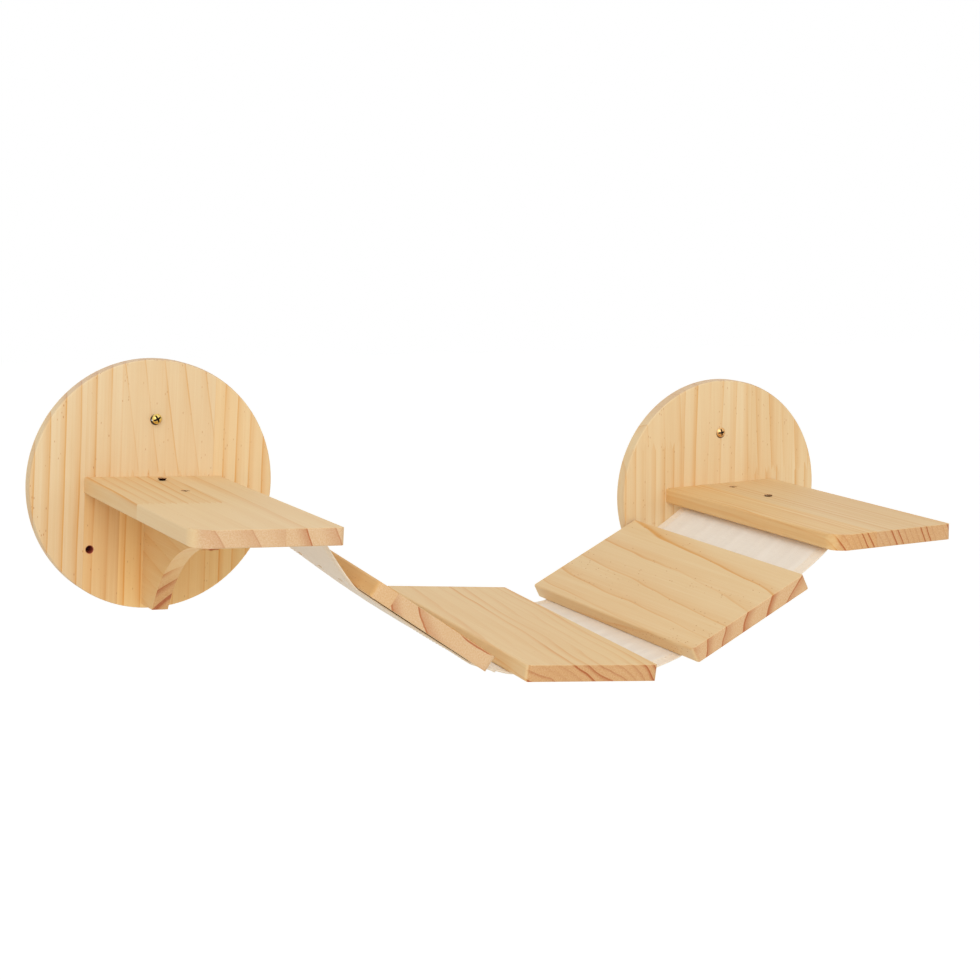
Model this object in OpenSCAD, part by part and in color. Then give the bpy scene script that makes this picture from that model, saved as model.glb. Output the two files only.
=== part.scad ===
// Cat wall bridge: two round wall plates, each with a shelf on a curved gusset,
// and three planks that hang between the shelves on one strip of canvas.
// X runs along the wall, Y into the wall, Z up. The wall is the plane y = 0,
// and the origin is the middle of the left plate on that plane.

/* [Wall plates] */
// Diameter of each round wall plate
plate_d = 230; // [205:1:260]
// Thickness of the wall plates
plate_t = 15; // [12:1:20]
// Round-over on the rims of the wall plates
plate_edge_r = 1.5; // [0.5:0.5:3]
// Diameter of the holes for the wall screws
wall_hole_d = 7; // [6.5:0.5:8]
// Chamfer at the mouths of the wall holes
wall_hole_chamfer = 0.8; // [0.2:0.2:1.6]
// Height of the top wall hole above the middle of the plate
top_hole_up = 60; // [45:1:80]
// Sideways distance of the lower wall holes from the middle of the plate
low_hole_side = 58; // [45:1:64]
// Distance of the lower wall holes below the middle of the plate
low_hole_down = 59; // [45:1:64]
// How far each bracket leans towards the bridge on its one wall screw, in degrees
bracket_lean = 2; // [0:0.5:4]

/* [Shelves and planks] */
// Width of a shelf, along the wall
shelf_w = 130; // [115:1:160]
// Length of a shelf, out from its wall plate
shelf_l = 300; // [290:1:340]
// Width of a plank of the bridge, along the canvas
plank_w = 130; // [100:1:150]
// Length of a plank, out from the wall
plank_l = 300; // [290:1:340]
// Thickness of the boards that the shelves and the planks are cut from
board_t = 15; // [12:1:20]
// Radius of the left front corner of a shelf
shelf_left_corner_r = 19; // [5:1:25]
// Radius of the right front corner of a shelf
shelf_right_corner_r = 6; // [3:1:25]
// Radius of the two front corners of a plank
plank_corner_r = 5; // [3:1:25]
// Round-over along the long edges of a board
board_edge_r = 2; // [0.5:0.5:4]
// Round-over along the front end of a board
board_end_r = 1; // [0.5:0.5:4]

/* [Gussets] */
// Thickness of the gusset under each shelf
gusset_t = 15; // [12:1:20]
// Reach of the gusset along the shelf
gusset_l = 160; // [130:1:200]
// Height of the gusset against the wall plate
gusset_h = 103; // [95:1:106]
// Depth of the gusset at its foot
gusset_foot = 31; // [15:1:40]
// Height of the gusset at its front end
gusset_nose = 26; // [20:1:40]

/* [Bridge] */
// Slope of the left plank, falling to the right, in degrees
left_tilt = 34; // [26:0.5:40]
// Slope of the canvas between the left and the middle plank, in degrees
left_fold_tilt = 21; // [10:0.5:24]
// Slope of the middle plank, in degrees
middle_tilt = 4.5; // [-4:0.5:10]
// Slope of the canvas between the middle and the right plank, in degrees
right_fold_tilt = -10; // [-24:0.5:-6]
// Slope of the right plank, which rises to the right, in degrees
right_tilt = -27.5; // [-40:0.5:-24]
// How far the front of the left plank droops, in degrees
left_droop = 3.5; // [0:0.5:5]
// How far the front of the middle plank droops, in degrees
middle_droop = 2.5; // [0:0.5:5]
// How far the front of the right plank droops, in degrees
right_droop = 0.5; // [0:0.5:5]
// Gap between the wall plates and the back ends of the planks
plank_setback = 4; // [3:0.5:10]
// Slope of the canvas between the left shelf and the left plank, in degrees
left_span_tilt = 47.5; // [36:0.5:60]
// Slope of the canvas between the right plank and the right shelf, in degrees
right_span_tilt = -35; // [-60:0.5:-29]
// Length of canvas from the fixing line under the left shelf to the left plank
left_span_l = 48.5; // [44:0.5:80]
// Length of canvas from the right plank to the fixing line under the right shelf
right_span_l = 51.5; // [44:0.5:80]
// Length of canvas between the left and the middle plank
left_fold_l = 35; // [32:0.5:60]
// Length of canvas between the middle and the right plank
right_fold_l = 41.5; // [34:0.5:60]

/* [Canvas] */
// Width of the canvas strip, out from the wall
canvas_w = 256; // [220:1:270]
// Thickness of the hemmed canvas
canvas_t = 1.2; // [0.8:0.1:2]
// Gap between the wall plates and the back edge of the canvas
canvas_setback = 16; // [8:1:30]
// Distance of the fixing line from the inner edge of the left shelf
left_fixing_inset = 6.5; // [5:0.5:30]
// Distance of the fixing line from the inner edge of the right shelf
right_fixing_inset = 12; // [5:0.5:30]
// Length of the canvas flap that is stapled under a shelf
flap_l = 18; // [14:1:20]
// How far a free span of canvas sags
canvas_sag = 0.5; // [0.5:0.5:5]
// Number of soft folds across the width of a free span
fold_count = 5; // [2:1:8]

/* [Screws and staples] */
// Diameter of the smooth shank of a wall screw
wall_screw_d = 4.5; // [4:0.1:5]
// Outer diameter of its thread
wall_thread_d = 5; // [4.2:0.1:5.5]
// Length of the thread that stands out behind the wall plate
wall_thread_l = 25; // [15:1:40]
// Diameter of its domed head
wall_head_d = 10; // [8.5:0.5:11]
// Height of its domed head
wall_head_h = 3; // [2:0.5:4]
// How far the head of the left wall screw stands off the plate
left_screw_proud = 4; // [0.5:0.5:6]
// How far the head of the right wall screw stands off the plate
right_screw_proud = 0.3; // [0.1:0.1:2]
// Diameter of the joinery screws
joint_screw_d = 4; // [3:0.5:5]
// Length of the joinery screws
joint_screw_l = 40; // [30:1:44]
// Diameter of their countersunk heads
joint_head_d = 8; // [7:0.5:9]
// Height of their countersunk heads
joint_head_h = 2.6; // [1.5:0.1:3.4]
// Depth of the heads of the back screws below the wood
back_head_sink = 1.2; // [0.4:0.1:2]
// Depth of the head of the screw on the left shelf next to the plate, below zero where it stands proud
left_near_sink = -2; // [-2.5:0.1:2]
// Depth of the head of the other screw on the left shelf
left_far_sink = 0.3; // [-2.5:0.1:2]
// Depth of the head of the screw on the right shelf next to the plate
right_near_sink = 0.5; // [-2.5:0.1:2]
// Depth of the head of the other screw on the right shelf
right_far_sink = -1; // [-2.5:0.1:2]
// Distance of the first screw on a shelf from the wall plate
shelf_screw_near = 25; // [15:1:40]
// Distance of the second screw on a shelf from the wall plate
shelf_screw_far = 90; // [70:1:106]
// Sideways distance of the screws in the back end of a shelf
back_screw_side = 42; // [30:1:50]
// Depth below the shelf of the screw in the back of a gusset
back_screw_down = 62; // [45:1:75]
// Width of a staple's crown
staple_w = 10; // [6:1:14]
// Length of a staple's legs
staple_leg = 8; // [5:0.5:10]
// Thickness of the staple wire
staple_wire = 1; // [0.6:0.1:1.4]
// Number of staples in one row
staple_count = 5; // [2:1:8]
// Distance of a row of staples from the edge of a plank
staple_inset = 20; // [12:1:30]

/* [Hidden] */
$fn = 64;
overrun = 1;
screw_clear = 0.1;
fabric_clear = 0.2;
hinge_clear = 0.4;
screw_tip_l = 6;
slot_w = 1.2;
slot_depth = 1.6;
slot_length_share = 0.55;
ripple_share = 0.5;
span_steps = 6;
fold_steps = 3;
plank_steps = 2;
width_steps = 24;
wood = [0.90, 0.75, 0.53];
cloth = [0.94, 0.91, 0.85];
yellow_zinc = [0.80, 0.64, 0.26];
steel = [0.72, 0.72, 0.72];

// Shelves are centred on the middle of their plates
shelf_under = -board_t / 2;
function fixing_x(side) = shelf_w / 2 - (side > 0 ? left_fixing_inset : right_fixing_inset);

// Depth range of the canvas, and the middle of the planks
canvas_back = -plate_t - canvas_setback;
canvas_front = canvas_back - canvas_w;
plank_y = -plate_t - plank_setback - plank_l / 2;

// The canvas is laid out link by link, from its fixing line under the left shelf
// to the one under the right shelf
link_lengths = [left_span_l, plank_w, left_fold_l, plank_w, right_fold_l, plank_w, right_span_l];
link_tilts = [left_span_tilt, left_tilt, left_fold_tilt, middle_tilt, right_fold_tilt, right_tilt, right_span_tilt];
function link(i) = link_lengths[i] * [cos(link_tilts[i]), 0, -sin(link_tilts[i])];
function path(i) = i == 0 ? fixing_point(1) : path(i - 1) + link(i - 1);

// The bridge pulls each bracket over: "side" is 1 for the left bracket and -1 for the right one.
// The right bracket stands where the canvas ends.
function turn_x(a, p) = [p.x, cos(a) * p.y - sin(a) * p.z, sin(a) * p.y + cos(a) * p.z];
function turn_y(a, p) = [cos(a) * p.x + sin(a) * p.z, p.y, cos(a) * p.z - sin(a) * p.x];
function bracket_turn(side, p) = turn_y(side * bracket_lean, p);
function fixing_point(side) = bracket_turn(side, [side * fixing_x(side), 0, shelf_under]);
right_place = path(7) - fixing_point(-1);

// Planks by number: 0 left, 1 middle, 2 right
plank_tilts = [left_tilt, middle_tilt, right_tilt];
plank_droops = [left_droop, middle_droop, right_droop];
function plank_mid(i) = (path(2 * i + 1) + path(2 * i + 2)) / 2 + [0, plank_y, 0];
function plank_turn(i, p) = turn_y(plank_tilts[i], turn_x(plank_droops[i], p));

// A line of the canvas is a pair of points, on its back edge and on its front edge
function under_plank(i, u) = [
    for (y = [canvas_back, canvas_front])
        plank_mid(i) + plank_turn(i, [u, y - plank_y, -fabric_clear])
];
function left_edge(i) = under_plank(i, -plank_w / 2);
function right_edge(i) = under_plank(i, plank_w / 2);
function mix(a, b, share) = a + (b - a) * share;
function shift_line(a, by) = [a[0] + by, a[1] + by];
function fold_line(i) = mix(right_edge(i), left_edge(i + 1), 1 / 2);
function fixing_line(side) = [
    for (y = [canvas_back, canvas_front])
        path(side > 0 ? 0 : 7) + bracket_turn(side, [0, y, -fabric_clear])
];

// One cross line of canvas between lines a and b: the fabric sags along "down" and ripples over its width
function canvas_row(a, b, share, sag, down) = [
    for (j = [0 : width_steps])
        let (across = j / width_steps)
        let (depth = 4 * sag * share * (1 - share))
        let (ripple = 1 + ripple_share * cos(360 * fold_count * across))
        mix(mix(a[0], b[0], share), mix(a[1], b[1], share), across) + down * depth * ripple
];
function canvas_rows(lines, steps, sags, down) = [
    for (k = [0 : len(steps) - 1])
        for (s = [0 : steps[k] - (k < len(steps) - 1 ? 1 : 0)])
            canvas_row(lines[k], lines[k + 1], s / steps[k], sags[k], down)
];
function flat(rows) = [for (row = rows) for (p = row) p];

// A sheet with the rows as its upper face and a constant thickness along "down"
module sheet(rows, down) {
    m = len(rows);
    n = len(rows[0]);
    upper = flat(rows);
    lower = [for (p = upper) p + down * canvas_t];
    size = m * n;
    cells = [for (i = [0 : m - 2]) for (j = [0 : n - 2]) i * n + j];
    rim = concat(
        [for (j = [0 : n - 2]) [j, j + 1]],
        [for (i = [0 : m - 2]) [i * n + n - 1, (i + 1) * n + n - 1]],
        [for (j = [n - 1 : -1 : 1]) [(m - 1) * n + j, (m - 1) * n + j - 1]],
        [for (i = [m - 1 : -1 : 1]) [i * n, (i - 1) * n]]
    );
    polyhedron(
        points = concat(upper, lower),
        faces = concat(
            [for (c = cells) [c, c + 1, c + n]],
            [for (c = cells) [c + 1, c + n + 1, c + n]],
            [for (c = cells) [size + c, size + c + n, size + c + 1]],
            [for (c = cells) [size + c + 1, size + c + n, size + c + n + 1]],
            [for (e = rim) [e[0], size + e[0], e[1]]],
            [for (e = rim) [e[1], size + e[0], size + e[1]]]
        )
    );
}

// A board lies along -Y from y = 0, with its underside on z = 0,
// and has its own radius at each of its front corners
module board(w, l, left_r, right_r) {
    intersection() {
        linear_extrude(board_t)
            difference() {
                translate([-w / 2, -l])
                    square([w, l]);
                translate([left_r - w / 2, left_r - l])
                    corner_waste(-1, left_r);
                translate([w / 2 - right_r, right_r - l])
                    corner_waste(1, right_r);
            }
        rotate([90, 0, 0])
            linear_extrude(l)
                rounded_bar(w, board_t, board_edge_r);
        translate([-w / 2, 0, 0])
            rotate([90, 0, 90])
                linear_extrude(w)
                    rounded_bar(2 * l, board_t, board_end_r);
    }
}

// What is cut off a front corner of a board
module corner_waste(side, r) {
    difference() {
        translate([side > 0 ? 0 : -r - overrun, -r - overrun])
            square(r + overrun);
        circle(r);
    }
}

// Rectangle on the x axis with rounded corners
module rounded_bar(w, t, r) {
    translate([-w / 2 + r, 0])
        square([w - 2 * r, t]);
    translate([-w / 2, r])
        square([w, t - 2 * r]);
    for (x = [-w / 2 + r, w / 2 - r])
        for (y = [r, t - r])
            translate([x, y])
                circle(r);
}

// Solid screw along -Z with the top of its countersunk head at the origin
module joint_screw() {
    difference() {
        rotate_extrude()
            polygon([
                [0, 0],
                [joint_head_d / 2, 0],
                [joint_screw_d / 2, -joint_head_h],
                [joint_screw_d / 2, screw_tip_l - joint_screw_l],
                [0, -joint_screw_l],
            ]);
        cross_slot(joint_head_d);
    }
}

// Cut for a joinery screw whose head lies at the depth "sink" below the face of the wood at z = 0
module joint_screw_cut(sink) {
    mouth = max(0, -sink) + overrun;
    rotate_extrude()
        polygon([
            [0, mouth],
            [joint_head_d / 2 + screw_clear, mouth],
            [joint_head_d / 2 + screw_clear, -sink],
            [joint_screw_d / 2 + screw_clear, -sink - joint_head_h],
            [joint_screw_d / 2 + screw_clear, -sink - joint_screw_l],
            [0, -sink - joint_screw_l],
        ]);
}

// Cross recess in the top of a screw head at z = 0
module cross_slot(head_d) {
    slot_l = head_d * slot_length_share;
    for (a = [0, 90])
        rotate([0, 0, a])
            translate([-slot_l / 2, -slot_w / 2, -slot_depth])
                cube([slot_l, slot_w, slot_depth + overrun]);
}

// Places in a bracket where its joinery screws enter the wood
module at_shelf_screw(y) {
    translate([0, -plate_t - y, board_t / 2])
        children();
}
module shelf_screw_cuts(side) {
    at_shelf_screw(shelf_screw_near)
        joint_screw_cut(side > 0 ? left_near_sink : right_near_sink);
    at_shelf_screw(shelf_screw_far)
        joint_screw_cut(side > 0 ? left_far_sink : right_far_sink);
}
module at_back_screws() {
    for (p = [[-back_screw_side, 0], [back_screw_side, 0], [0, shelf_under - back_screw_down]])
        translate([p.x, 0, p.y])
            rotate([-90, 0, 0])
                children();
}

// Pieces of one bracket, upright and with the middle of its plate at the origin
module at_bracket(side) {
    translate(side > 0 ? [0, 0, 0] : right_place)
        rotate([0, side * bracket_lean, 0])
            children();
}
module wall_plate() {
    color(wood)
        difference() {
            rotate([90, 0, 0])
                rotate_extrude($fn = 128)
                    intersection() {
                        rounded_bar(plate_d, plate_t, plate_edge_r);
                        square([plate_d, plate_t]);
                    }
            for (p = [[0, top_hole_up], [-low_hole_side, -low_hole_down], [low_hole_side, -low_hole_down]])
                translate([p.x, -plate_t, p.y])
                    rotate([-90, 0, 0])
                        wall_hole();
            at_back_screws()
                joint_screw_cut(back_head_sink);
        }
}
module wall_hole() {
    translate([0, 0, -overrun])
        cylinder(d = wall_hole_d, h = plate_t + 2 * overrun);
    cylinder(d1 = wall_hole_d + 2 * wall_hole_chamfer, d2 = wall_hole_d, h = wall_hole_chamfer);
}
module shelf(side) {
    color(wood)
        difference() {
            translate([0, -plate_t, shelf_under])
                board(shelf_w, shelf_l, shelf_left_corner_r, shelf_right_corner_r);
            shelf_screw_cuts(side);
            at_back_screws()
                joint_screw_cut(back_head_sink);
        }
}

// The gusset's front edge is an arc that runs level into its front end
module gusset(side) {
    rise = gusset_h - gusset_nose;
    run = gusset_l - gusset_foot;
    arc_r = (run * run + rise * rise) / (2 * rise);
    color(wood)
        difference() {
            translate([gusset_t / 2, -plate_t, shelf_under])
                rotate([0, -90, 0])
                    linear_extrude(gusset_t)
                        difference() {
                            translate([-gusset_h, -gusset_l])
                                square([gusset_h, gusset_l]);
                            translate([-gusset_nose - arc_r, -gusset_l])
                                circle(arc_r, $fn = 128);
                        }
            shelf_screw_cuts(side);
            at_back_screws()
                joint_screw_cut(back_head_sink);
        }
}

// The plate hangs on the shank of its wall screw
module wall_screw(proud) {
    shank_l = plate_t + proud;
    dome_r = (wall_head_d * wall_head_d / 4 + wall_head_h * wall_head_h) / (2 * wall_head_h);
    lift = (wall_hole_d - max(wall_screw_d, wall_thread_d)) / 2 - screw_clear;
    color(yellow_zinc)
        translate([0, -shank_l, top_hole_up + lift])
            rotate([90, 0, 0])
                difference() {
                    union() {
                        rotate_extrude()
                            intersection() {
                                translate([0, wall_head_h - dome_r])
                                    circle(dome_r);
                                square([wall_head_d, wall_head_h]);
                            }
                        translate([0, 0, -shank_l])
                            cylinder(d = wall_screw_d, h = shank_l);
                        translate([0, 0, -shank_l - wall_thread_l])
                            cylinder(d = wall_thread_d, h = wall_thread_l);
                        translate([0, 0, -shank_l - wall_thread_l - screw_tip_l])
                            cylinder(d1 = 0, d2 = wall_thread_d, h = screw_tip_l);
                    }
                    translate([0, 0, wall_head_h])
                        cross_slot(wall_head_d);
                }
}
module shelf_screws(side) {
    color(yellow_zinc) {
        at_shelf_screw(shelf_screw_near)
            translate([0, 0, side > 0 ? -left_near_sink : -right_near_sink])
                joint_screw();
        at_shelf_screw(shelf_screw_far)
            translate([0, 0, side > 0 ? -left_far_sink : -right_far_sink])
                joint_screw();
    }
}
module back_screws() {
    color(yellow_zinc)
        at_back_screws()
            translate([0, 0, -back_head_sink])
                joint_screw();
}

// A staple stands under the canvas with its legs up and its crown along Y
module staple() {
    translate([-staple_wire / 2, -staple_w / 2, -canvas_t - fabric_clear - staple_wire])
        difference() {
            cube([staple_wire, staple_w, staple_leg]);
            translate([-overrun, staple_wire, staple_wire])
                cube([staple_wire + 2 * overrun, staple_w - 2 * staple_wire, staple_leg]);
        }
}
module staple_row() {
    pitch = canvas_w / staple_count;
    for (i = [0 : staple_count - 1])
        translate([0, canvas_front + pitch * (i + 1 / 2), 0])
            staple();
}

// Canvas and staples under a shelf, where "side" is 1 for the left shelf and -1 for the right one.
// The flap stops short of the fixing line, to leave room for the edge of the sloping canvas.
function flap_x(side) = fixing_x(side) - (flap_l + hinge_clear) / 2
    - canvas_t * abs(sin(side > 0 ? left_tilt : right_tilt));
module canvas_end(side) {
    color(cloth)
        translate([side * flap_x(side) - flap_l / 2, canvas_front, shelf_under - fabric_clear - canvas_t])
            cube([flap_l, canvas_w, canvas_t]);
}
module shelf_staples(side) {
    color(steel)
        translate([side * flap_x(side), 0, shelf_under])
            staple_row();
}

// Pieces of the bridge
module at_plank(i) {
    translate(plank_mid(i))
        rotate([plank_droops[i], plank_tilts[i], 0])
            children();
}
module plank(i) {
    color(wood)
        at_plank(i)
            translate([0, plank_l / 2, 0])
                board(plank_w, plank_l, plank_corner_r, plank_corner_r);
}
module plank_staples(i) {
    color(steel)
        at_plank(i)
            for (side = [-1, 1])
                translate([side * (plank_w / 2 - staple_inset), -plank_y, 0])
                    staple_row();
}

// Canvas that moves with plank i, between the lines where it begins and ends
module canvas_stretch(i, first, last, steps, sags) {
    down = plank_turn(i, [0, 0, -1]);
    trim = plank_turn(i, [hinge_clear / 2, 0, 0]);
    lines = [shift_line(first, trim), left_edge(i), right_edge(i), shift_line(last, -trim)];
    color(cloth)
        sheet(canvas_rows(lines, steps, sags, down), down);
}

module left_wall_plate() at_bracket(1) wall_plate();
module left_shelf() at_bracket(1) shelf(1);
module left_gusset() at_bracket(1) gusset(1);
module left_wall_screw() at_bracket(1) wall_screw(left_screw_proud);
module left_shelf_screws() at_bracket(1) shelf_screws(1);
module left_back_screws() at_bracket(1) back_screws();
module left_shelf_staples() at_bracket(1) shelf_staples(1);
module canvas_left_end() at_bracket(1) canvas_end(1);
module left_plank() plank(0);
module canvas_left()
    canvas_stretch(0, fixing_line(1), fold_line(0), [span_steps, plank_steps, fold_steps], [canvas_sag, 0, 0]);
module left_plank_staples() plank_staples(0);
module middle_plank() plank(1);
module canvas_middle()
    canvas_stretch(1, fold_line(0), fold_line(1), [fold_steps, plank_steps, fold_steps], [0, 0, 0]);
module middle_plank_staples() plank_staples(1);
module right_plank() plank(2);
module canvas_right()
    canvas_stretch(2, fold_line(1), fixing_line(-1), [fold_steps, plank_steps, span_steps], [0, 0, canvas_sag]);
module right_plank_staples() plank_staples(2);
module right_wall_plate() at_bracket(-1) wall_plate();
module right_shelf() at_bracket(-1) shelf(-1);
module right_gusset() at_bracket(-1) gusset(-1);
module right_wall_screw() at_bracket(-1) wall_screw(right_screw_proud);
module right_shelf_screws() at_bracket(-1) shelf_screws(-1);
module right_back_screws() at_bracket(-1) back_screws();
module right_shelf_staples() at_bracket(-1) shelf_staples(-1);
module canvas_right_end() at_bracket(-1) canvas_end(-1);

left_wall_plate();
left_shelf();
left_gusset();
left_wall_screw();
left_shelf_screws();
left_back_screws();
left_shelf_staples();
canvas_left_end();
left_plank();
canvas_left();
left_plank_staples();
middle_plank();
canvas_middle();
middle_plank_staples();
right_plank();
canvas_right();
right_plank_staples();
right_wall_plate();
right_shelf();
right_gusset();
right_wall_screw();
right_shelf_screws();
right_back_screws();
right_shelf_staples();
canvas_right_end();
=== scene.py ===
"""Cat wall bridge: two round pine wall plates with shelves, and planks that hang between them on
canvas."""
import math

import bmesh
import bpy
import numpy as np
from mathutils import Matrix, Vector


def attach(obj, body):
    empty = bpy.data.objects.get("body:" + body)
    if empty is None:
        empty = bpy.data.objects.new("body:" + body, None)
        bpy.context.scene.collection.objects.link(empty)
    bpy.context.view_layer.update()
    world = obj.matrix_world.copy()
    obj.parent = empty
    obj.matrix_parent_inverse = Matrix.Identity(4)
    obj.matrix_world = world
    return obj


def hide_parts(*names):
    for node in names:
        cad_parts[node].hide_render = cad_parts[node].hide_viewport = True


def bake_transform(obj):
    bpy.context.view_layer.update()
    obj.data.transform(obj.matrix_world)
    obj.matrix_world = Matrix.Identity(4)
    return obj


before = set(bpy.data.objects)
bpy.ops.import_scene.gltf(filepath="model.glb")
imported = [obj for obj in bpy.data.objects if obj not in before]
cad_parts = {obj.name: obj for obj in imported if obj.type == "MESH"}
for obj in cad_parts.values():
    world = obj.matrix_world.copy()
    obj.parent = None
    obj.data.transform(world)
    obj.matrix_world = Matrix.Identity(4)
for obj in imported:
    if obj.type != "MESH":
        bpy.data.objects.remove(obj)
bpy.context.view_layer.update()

MM = 0.001
TURN = 2 * math.pi
SIDES = {"left": 1, "right": -1}

# Sizes of the part's source, in millimetres and degrees
PLATE_T = 15
BOARD_T = 15
PLANK_W = 130
PLANK_L = 300
PLANK_SETBACK = 4
LEFT_SPAN_L = 48.5
RIGHT_SPAN_L = 51.5
LEFT_FOLD_L = 35
RIGHT_FOLD_L = 41.5
CANVAS_W = 256
CANVAS_T = 1.2
CANVAS_SETBACK = 16
CANVAS_SAG = 0.5
FABRIC_CLEAR = 0.2
FLAP_L = 18
FLAP_GAP = 0.2
FIXING_X = {1: 58.5, -1: 53}
LEAN = 2
FOLD_COUNT = 5
RIPPLE_SHARE = 0.5
STAPLE_INSET = 20
SHELF_SCREW_Y = (-25, -90)
WALL_SCREW_Z = 60.9
LOW_HOLE_X, LOW_HOLE_Z, WALL_HOLE_R = 58, -59, 3.5
LINK_LENGTHS = (LEFT_SPAN_L, PLANK_W, LEFT_FOLD_L, PLANK_W, RIGHT_FOLD_L, PLANK_W, RIGHT_SPAN_L)
LINK_TILTS = (47.5, 34, 21, 4.5, -10, -27.5, -35)
PLANK_TILTS = LINK_TILTS[1::2]
PLANK_DROOPS = (3.5, 2.5, 0.5)
PLANK_Y = -PLATE_T - PLANK_SETBACK - PLANK_L / 2
CANVAS_BACK = -PLATE_T - CANVAS_SETBACK
CANVAS_FRONT = CANVAS_BACK - CANVAS_W

# The brackets lean towards the bridge: 1 is the left one, -1 the right one
LEAN_TURNS = {side: np.array(Matrix.Rotation(math.radians(side * LEAN), 3, "Y")) for side in (1, -1)}


def chain():
    """Corner points of the canvas's path, in millimetres."""
    points = [LEAN_TURNS[1] @ np.array([FIXING_X[1], 0.0, -BOARD_T / 2])]
    for length, tilt in zip(LINK_LENGTHS, LINK_TILTS):
        a = math.radians(tilt)
        points.append(points[-1] + length * np.array([math.cos(a), 0, -math.sin(a)]))
    return points


PATH = chain()
RIGHT_PLACE = PATH[-1] - LEAN_TURNS[-1] @ np.array([-FIXING_X[-1], 0, -BOARD_T / 2])
PLACES = {1: np.zeros(3), -1: RIGHT_PLACE}
PLANK_MIDS = [(PATH[2 * i + 1] + PATH[2 * i + 2]) / 2 + np.array([0, PLANK_Y, 0]) for i in range(3)]
PLANK_TURNS = [
    np.array(Matrix.Rotation(math.radians(t), 3, "Y") @ Matrix.Rotation(math.radians(d), 3, "X"))
    for t, d in zip(PLANK_TILTS, PLANK_DROOPS)
]


def on_bracket(side, point):
    """A point of a bracket's own frame in the row frame, in millimetres."""
    return PLACES[side] + LEAN_TURNS[side] @ np.array(point)


def new_object(name, data):
    made = bpy.data.objects.new(name, data)
    bpy.context.scene.collection.objects.link(made)
    return made


# Camera, fitted to the edges of the boards in the photograph

CAMERA_PLACE = (-0.6315, -1.9634, 0.3108)
CAMERA_YAW, CAMERA_PITCH, CAMERA_ROLL = -0.4645, 0.1513, 0.0228
FOCAL_PIXELS, PICTURE_PIXELS, SENSOR_W = 2237.7, 980, 36
CLIP_START, CLIP_END = 0.05, 50


def make_camera():
    turn = (Matrix.Rotation(CAMERA_ROLL, 3, "Z") @ Matrix.Rotation(CAMERA_PITCH, 3, "X")
            @ Matrix.Rotation(CAMERA_YAW, 3, "Y"))
    right, down, ahead = turn @ Matrix(((1, 0, 0), (0, 0, -1), (0, 1, 0)))
    camera = bpy.data.cameras.new("camera")
    camera.sensor_width = SENSOR_W
    camera.lens = FOCAL_PIXELS * SENSOR_W / PICTURE_PIXELS
    camera.clip_start, camera.clip_end = CLIP_START, CLIP_END
    made = new_object("camera", camera)
    axes = Matrix((right, -down, -ahead)).transposed().to_4x4()
    made.matrix_world = Matrix.Translation(CAMERA_PLACE) @ axes
    bpy.context.scene.camera = made


# Node helpers

class Nodes:
    """Builds the node tree of a material or a world. An input may be a socket or a plain value."""

    # The first input and the output that a Mix node uses for each kind of value
    MIX_SOCKETS = {"FLOAT": (2, 0), "VECTOR": (4, 1), "RGBA": (6, 2)}

    def __init__(self, owner):
        owner.use_nodes = True
        self.owner = owner
        self.tree = owner.node_tree
        self.shader = self.tree.nodes.get("Principled BSDF")

    def put(self, socket, value):
        if isinstance(value, bpy.types.NodeSocket):
            self.tree.links.new(value, socket)
        else:
            socket.default_value = value

    def node(self, kind, *values, **settings):
        """A node with its first inputs and its settings."""
        made = self.tree.nodes.new(kind)
        for key, value in settings.items():
            setattr(made, key, value)
        for socket, value in zip(made.inputs, values):
            self.put(socket, value)
        return made

    def math(self, operation, *values, clamp=False):
        return self.node("ShaderNodeMath", *values, operation=operation, use_clamp=clamp).outputs[0]

    def vector(self, operation, *values):
        return self.node("ShaderNodeVectorMath", *values, operation=operation).outputs[0]

    def mix(self, kind, factor, a, b, blend="MIX"):
        made = self.node("ShaderNodeMix", factor, data_type=kind, blend_type=blend)
        first, result = self.MIX_SOCKETS[kind]
        self.put(made.inputs[first], a)
        self.put(made.inputs[first + 1], b)
        return made.outputs[result]

    def smooth(self, value, low, high, to_low=0.0, to_high=1.0):
        values = (value, low, high, to_low, to_high)
        return self.node("ShaderNodeMapRange", *values, interpolation_type="SMOOTHSTEP").outputs[0]

    def noise(self, vector, scale=1.0, detail=2.0, roughness=0.5):
        made = self.node("ShaderNodeTexNoise")
        values = {"Vector": vector, "Scale": scale, "Detail": detail, "Roughness": roughness}
        for name, value in values.items():
            self.put(made.inputs[name], value)
        return made.outputs["Fac"]

    def split(self, vector):
        return self.node("ShaderNodeSeparateXYZ", vector).outputs

    def distance(self, a, b):
        return self.math("SQRT", self.math("ADD", self.math("MULTIPLY", a, a), self.math("MULTIPLY", b, b)))

    def tinted(self, colour, channels):
        """A colour times a tint that is given channel by channel."""
        tone = self.node("ShaderNodeCombineColor", *channels)
        return self.mix("RGBA", 1.0, colour, tone.outputs[0], "MULTIPLY")

    def coord(self, source):
        return self.node("ShaderNodeTexCoord").outputs[source]

    def own_frame(self, place):
        """A point and its normal in a board's own frame, to which place leads from the row frame."""
        found = []
        for kind, source in (("POINT", "Object"), ("VECTOR", "Normal")):
            turn = self.node("ShaderNodeMapping", self.coord(source), vector_type=kind)
            turn.inputs["Rotation"].default_value = place.to_euler("XYZ")
            if kind == "POINT":
                turn.inputs["Location"].default_value = place.translation
            found.append(turn.outputs[0])
        return found

    def background_seen(self):
        """1 for the rays that show the background itself, and 0 for those that light the object."""
        rays = self.node("ShaderNodeLightPath").outputs
        seen = self.math("MAXIMUM", rays["Is Camera Ray"], rays["Is Glossy Ray"])
        return self.math("MAXIMUM", seen, rays["Is Transmission Ray"])

    def bump(self, height, strength, distance):
        made = self.node("ShaderNodeBump")
        made.inputs["Strength"].default_value = strength
        made.inputs["Distance"].default_value = distance
        self.put(made.inputs["Height"], height)
        self.put(self.shader.inputs["Normal"], made.outputs[0])


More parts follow.
